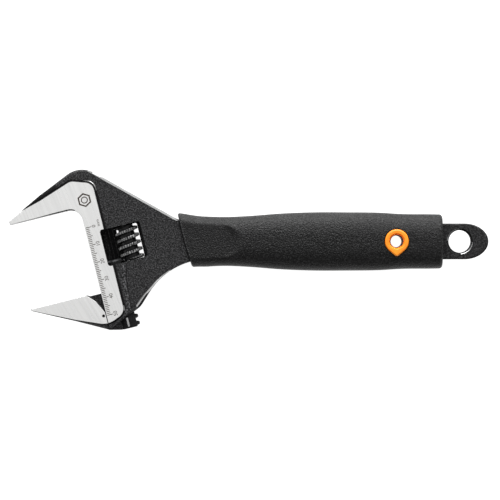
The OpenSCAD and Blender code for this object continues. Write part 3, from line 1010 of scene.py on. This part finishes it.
def make_worm():
    """Threaded worm with notched crests, its bore, and the wider room for the spring."""
    notches, steps, levels = 28, 8, 166
    columns = notches * steps
    angle = np.linspace(0, 2 * math.pi, columns, endpoint=False)
    rack_side = math.pi
    mesh_height = RACK_FIRST + jaw_c - WORM_FOOT
    phase = rack_side - 2 * math.pi * mesh_height / lead
    heights = np.linspace(0, WORM_LENGTH, levels)
    rings = []
    crest_half, root_half = CREST_WIDTH / 2, THREAD_ROOT_WIDTH / 2
    end_break, notch_depth, blend = 0.8, 0.38, 0.12
    for h in heights:
        turn = (angle - phase - 2 * math.pi * h / lead) / (2 * math.pi)
        off = np.abs(turn - np.round(turn)) * lead
        flank = ease((root_half + blend - off) / (root_half - crest_half + 2 * blend))
        notch = np.clip(np.cos(angle * notches), 0, 1) ** 2 * notch_depth
        crest = ease((crest_half + 0.05 - off) / 0.15)
        radius = WORM_ROOT_R + (WORM_R - WORM_ROOT_R) * flank - notch * crest
        rim = WORM_R - end_break + min(h, WORM_LENGTH - h)
        rings.append(axle_ring(worm_n, WORM_FOOT + h, np.minimum(radius, rim), angle))
    bore, counter, depth = 2.05, 3.5, 2.6
    for radius, h in ((counter, WORM_LENGTH), (counter, WORM_LENGTH - depth),
                      (bore, WORM_LENGTH - depth), (bore, 0)):
        rings.append(axle_ring(worm_n, WORM_FOOT + h, radius, angle))
    obj = to_object("worm_wheel", np.concatenate(rings), band(rings, columns, close_ends=False))

    def choose(centre, normal):
        # the crests take the rubbed steel, which also paints their glints
        out = np.hypot(to_head(centre)[:, 0] - worm_n, centre[:, 2])
        return out > WORM_R - 0.22

    dress(obj, [worm_steel(), worn_crest()], choose)
    shade(obj, 40)
    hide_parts("knurl")
    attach(obj, "worm")


# ---- grip

def smooth_curve(places, values, at):
    """Cubic curve through the values."""
    places, values = np.asarray(places, float), np.asarray(values, float)
    slope = np.gradient(values, places)
    i = np.clip(np.searchsorted(places, at) - 1, 0, len(places) - 2)
    run = places[i + 1] - places[i]
    t = (at - places[i]) / run
    return ((2 * t ** 3 - 3 * t ** 2 + 1) * values[i] + (t ** 3 - 2 * t ** 2 + t) * run * slope[i]
            + (3 * t ** 2 - 2 * t ** 3) * values[i + 1] + (t ** 3 - t ** 2) * run * slope[i + 1])


def grip_rings():
    """Sections of the sleeve: half width and half thickness at places along the handle."""
    places = (GRIP_FRONT, -146, -131, -117, -100, -86, -61, -45, -33, -14, -9.7)
    half_w = (15.2, 14.4, 13.7, 14.3, 15.6, 16.2, 16.3, 16.1, 15.4, 15.2, 15.1)
    half_t = (9.6, 9.6, 9.4, 9.8, 10.5, 10.86, 10.9, 10.75, 10.4, 10.2, 10.1)
    sides, power, lean_run = 144, 0.78, 24
    front_round, back_round = 1.4, 1.8
    turn = np.linspace(0, 2 * math.pi, sides, endpoint=False)
    across, up = (np.sign(v) * np.abs(v) ** power for v in (np.cos(turn), np.sin(turn)))
    middle = np.linspace(GRIP_FRONT + front_round, GRIP_BACK - back_round, 190)
    front = GRIP_FRONT + front_round * (1 - np.cos(np.linspace(0, math.pi / 2, 8)[:-1]))
    back = GRIP_BACK - back_round * (1 - np.sin(np.linspace(0, math.pi / 2, 9)[1:]))
    rings = []
    for x in np.concatenate([front, middle, back]):
        inset = 0.0
        for far, r in ((x - GRIP_FRONT, front_round), (GRIP_BACK - x, back_round)):
            if far < r:
                inset += r - math.sqrt(max(0.0, r * r - (r - far) ** 2))
        y = across * (smooth_curve(places, half_w, x) - inset)
        z = up * (smooth_curve(places, half_t, x) - inset)
        fade = max(0.0, 1 - (x - GRIP_FRONT) / lean_run)
        shift = GRIP_LIP * (1 - ease((x - GRIP_FRONT) / LIP_RUN))
        rings.append(np.stack([x - y * math.tan(GRIP_LEAN) * fade, y + shift, z], 1))
    return [thumb_rest(r) for r in rings]


def thumb_rest(ring):
    """Presses the flat oval thumb rests into both faces."""
    x0, y0, half_l, half_w, level, corner = -150, -0.4, 25.5, 13.5, 7.9, 2.8
    x, y, z = ring.T
    out = np.abs((x - x0) / half_l) ** corner + np.abs((y - y0) / half_w) ** corner
    out = out ** (1 / corner)
    cap = level + 2.2 * np.clip((out - 0.9) / 0.25, 0, None)
    size = np.abs(z)
    soft = 0.4
    h = np.clip(0.5 + 0.5 * (cap - size) / soft, 0, 1)
    pressed = cap * (1 - h) + size * h - soft * h * (1 - h)
    pressed = np.where(size > 4, np.minimum(pressed, size), size)
    return np.stack([x, y, np.sign(z) * pressed], 1)


def drop_loop(grow=0.0):
    """Teardrop outline of the collar."""
    reach = COLLAR_REACH - COLLAR_POINT_R
    big, small = COLLAR_R + grow, COLLAR_POINT_R + grow
    slope = math.acos((COLLAR_R - COLLAR_POINT_R) / reach)
    wide = np.linspace(-math.pi / 2 + slope, 1.5 * math.pi - slope, 60)
    tip = np.linspace(-math.pi / 2 - slope, -math.pi / 2 + slope, 14)[1:-1]
    a = np.stack([tether_x + big * np.cos(wide), big * np.sin(wide)], 1)
    b = np.stack([tether_x + small * np.cos(tip), -reach + small * np.sin(tip)], 1)
    return np.concatenate([a, b])


def make_grip():
    """Soft sleeve, hollowed for the liner, the forging and the collars."""
    shank = forging_loop()
    blank = forging_blank(shank, forging_style(shank), pad_loop())
    obj = loft("grip", grip_rings())
    core = np.array([(CORE_FRONT, -CORE_HALF_W), (CORE_BACK, -CORE_HALF_W),
                     (CORE_BACK, CORE_HALF_W), (CORE_FRONT, CORE_HALF_W)], float)
    cut(obj, prism("liner_room", [(core, -CORE_HALF_T), (core, CORE_HALF_T)]), blank)
    for low, high in ((2, 14), (-14, -2)):
        loop = drop_loop(COLLAR_GAP)
        cut(obj, prism("collar_room", [(loop, low), (loop, high)]))

    def choose(centre, normal):
        # painted highlight: a lighter copy of the rubber along the top of the grip's front rounding
        past = centre[:, 0] - grip_edge_x(centre[:, 1])
        return (np.abs(past - 0.75) < 0.35) & (np.abs(centre[:, 2]) > 6.5)

    dress(obj, [rubber(), rubber("grip_edge_highlight", 3.5)], choose)
    shade(obj)
    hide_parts("grip_cover")
    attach(obj, "frame")


def make_collar(name, node, side):
    """Orange teardrop collar with a rounded rim and a funnel into the hole."""
    outer = drop_loop()
    away = inward(outer)
    centre = np.array((tether_x, 0.0))
    spoke = outer - centre
    spoke = spoke / np.linalg.norm(spoke, axis=1)[:, None]

    def level(points, z):
        return np.hstack([points, np.full((len(points), 1), side * z)])

    rings = [level(outer, CORE_HALF_T)]
    rim = 0.9
    for a in np.linspace(0, math.pi / 2, 7):
        edge = outer + away * rim * (1 - math.cos(a))
        rings.append(level(edge, COLLAR_TOP - rim + rim * math.sin(a)))
    for radius, depth in COLLAR_FUNNEL:
        rings.append(level(centre + spoke * radius, COLLAR_TOP - depth))
    obj = to_object(name, np.concatenate(rings), band(rings, len(outer), close_ends=False))
    plain(obj, orange_plastic(), 40)
    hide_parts(node)
    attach(obj, "frame")


# ---- markings

MARK_LOW, MARK_HIGH = PAD_Z - 0.01, PAD_Z + 0.02


def add_rings(points, faces, rings, solid):
    """Adds a thin body between rings of (loop, z) to a list of points and faces."""
    start = len(points)
    points += [(x, y, z) for loop, z in rings for x, y in loop]
    faces += [[start + i for i in face] for face in band(rings, len(rings[0][0]), solid)]


def add_plate(points, faces, loop, drop=0.0):
    """Adds a thin plate of the outline, lower by the drop."""
    add_rings(points, faces, [(loop, MARK_LOW - drop), (loop, MARK_HIGH - drop)], True)


def add_frame(points, faces, outer, inner):
    """Adds a thin flat ring between two outlines of equal length."""
    add_rings(points, faces, [(outer, MARK_LOW), (outer, MARK_HIGH), (inner, MARK_HIGH),
                              (inner, MARK_LOW)], False)


def add_text(points, faces, text, size, n, c):
    """Adds plain lettering that reads along the strip, centred on (n, c)."""
    curve = bpy.data.curves.new("lettering", "FONT")
    curve.body = text
    curve.size = size
    curve.align_x = "CENTER"
    curve.align_y = "CENTER"
    curve.resolution_u = 4
    curve.extrude = (MARK_HIGH - MARK_LOW) / 2
    obj = place("lettering", curve)
    bpy.context.view_layer.update()
    seen = bpy.context.evaluated_depsgraph_get()
    mesh = bpy.data.meshes.new_from_object(obj.evaluated_get(seen))
    start = len(points)
    for v in mesh.vertices:
        x, y = from_head([(n - v.co.y, c + v.co.x)])[0]
        points.append((x, y, (MARK_LOW + MARK_HIGH) / 2 + v.co.z))
    faces += [[start + i for i in p.vertices] for p in mesh.polygons]
    bpy.data.objects.remove(obj)
    bpy.data.curves.remove(curve)
    bpy.data.meshes.remove(mesh)


def circle(n, c, radius, count=32, turn=0.0):
    a = np.linspace(0, 2 * math.pi, count, endpoint=False) + turn
    return from_head(np.stack([n + radius * np.cos(a), c + radius * np.sin(a)], 1))


def make_scale():
    """Millimetre ruling from 0 to 50, its numbers, and a plain nut sign."""
    points, faces = [], []
    zero_c, half, foot = -12.3, 0.18, 0.5
    for mm in range(51):
        end = foot + (3.2 if mm % 10 == 0 else 2.7 if mm % 5 == 0 else 1.9)
        c = zero_c - mm
        add_plate(points, faces, from_head([(foot, c - half), (end, c - half),
                                            (end, c + half), (foot, c + half)]))
    number_size, number_n = 2.9, 5.2
    for ten in range(0, 51, 10):
        add_text(points, faces, str(ten), number_size, number_n, zero_c - ten)
    unit_size, unit_n = 2.6, 7.9
    add_text(points, faces, "mm", unit_size, unit_n, zero_c + 1.2)
    nut_n, nut_c = 3.6, 3.0
    add_frame(points, faces, *(circle(nut_n, nut_c, r, 6, math.pi / 6) for r in (4.0, 3.1)))
    add_frame(points, faces, *(circle(nut_n, nut_c, r) for r in (1.95, 1.4)))
    obj = to_object("scale_marks", points, faces)
    plain(obj, etched())
    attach(obj, "frame")


def make_index():
    """Dot on the movable jaw that points at the scale."""
    points, faces = [], []
    dot_n, dot_c, dot_r = -1.64, -62.14, 0.85
    add_plate(points, faces, circle(dot_n, dot_c, dot_r, 24), PAD_Z - BLADE_Z)
    obj = to_object("index_dot", points, faces)
    # The near-black is the dot's own colour here, not painted shade.
    plain(obj, shadowed_steel())
    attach(obj, "jaw")


# ---- stage

def make_camera():
    """Straight down on the scale side."""
    width, height, centre = 278.1, 1500, (-117.0, -4.8)
    data = bpy.data.cameras.new("camera")
    data.sensor_width = 36
    data.lens = data.sensor_width * height / width
    data.clip_start, data.clip_end = 0.05, 20
    camera = place("camera", data)
    camera.location = (centre[0] * MM, centre[1] * MM, (height + PAD_Z) * MM)
    bpy.context.scene.camera = camera


def make_floor():
    size = 3.0
    mesh = bpy.data.meshes.new("floor")
    corners = ((-size, -size), (size, -size), (size, size), (-size, size))
    mesh.from_pydata([(x, y, floor_z) for x, y in corners], [], [(0, 1, 2, 3)])
    mesh.materials.append(pale_floor())
    floor = place("floor", mesh)


def softbox(name, at, aim, size, power):
    data = bpy.data.lights.new(name, "AREA")
    data.shape = "RECTANGLE"
    data.size, data.size_y = size
    data.energy = power
    light = place(name, data)
    light.location = at
    light.rotation_mode = "QUATERNION"
    light.rotation_quaternion = (Vector(aim) - Vector(at)).to_track_quat("-Z", "Y")


def make_lights():
    """Room that is darker on the tool's lower side, and one large softbox above its upper side."""
    world = bpy.data.worlds.new("studio")
    world.use_nodes = True
    tree = world.node_tree
    coords = tree.nodes.new("ShaderNodeTexCoord")
    split_up = tree.nodes.new("ShaderNodeSeparateXYZ")
    ramp = tree.nodes.new("ShaderNodeValToRGB")
    stops = ramp.color_ramp.elements
    middle = stops.new(0.5)
    for stop, level in zip((stops[0], middle, stops[len(stops) - 1]), (0.04, 0.6, 1.5)):
        stop.color = (level, level, level, 1)
    half = tree.nodes.new("ShaderNodeMath")
    half.operation = "MULTIPLY_ADD"
    half.inputs[1].default_value = 0.5
    half.inputs[2].default_value = 0.5
    tree.links.new(coords.outputs["Generated"], split_up.inputs["Vector"])
    tree.links.new(split_up.outputs["Y"], half.inputs[0])
    tree.links.new(half.outputs[0], ramp.inputs["Fac"])
    tree.links.new(ramp.outputs["Color"], tree.nodes["Background"].inputs["Color"])
    bpy.context.scene.world = world
    softbox("key", at=(-0.1, 1.15, 0.45), aim=(-0.12, 0, 0), size=(1.6, 0.7), power=34)
    bpy.context.scene.view_settings.view_transform = "Standard"


def dress_cad(node, material):
    obj = frame["nodes"][node]
    obj.data.materials.clear()
    obj.data.materials.append(material)


make_camera()
make_lights()
make_floor()
make_forging()
make_grip()
make_collar("collar_front", "eyelet_front", 1)
make_collar("collar_back", "eyelet_back", -1)
make_jaw()
make_worm()
make_scale()
make_index()
dress_cad("worm_pin", satin_steel("pin_steel", 0.32, 0.35))
dress_cad("worm_spring", satin_steel("spring_steel", 0.04, 0.4))
dress_cad("grip_core", hard_plastic())
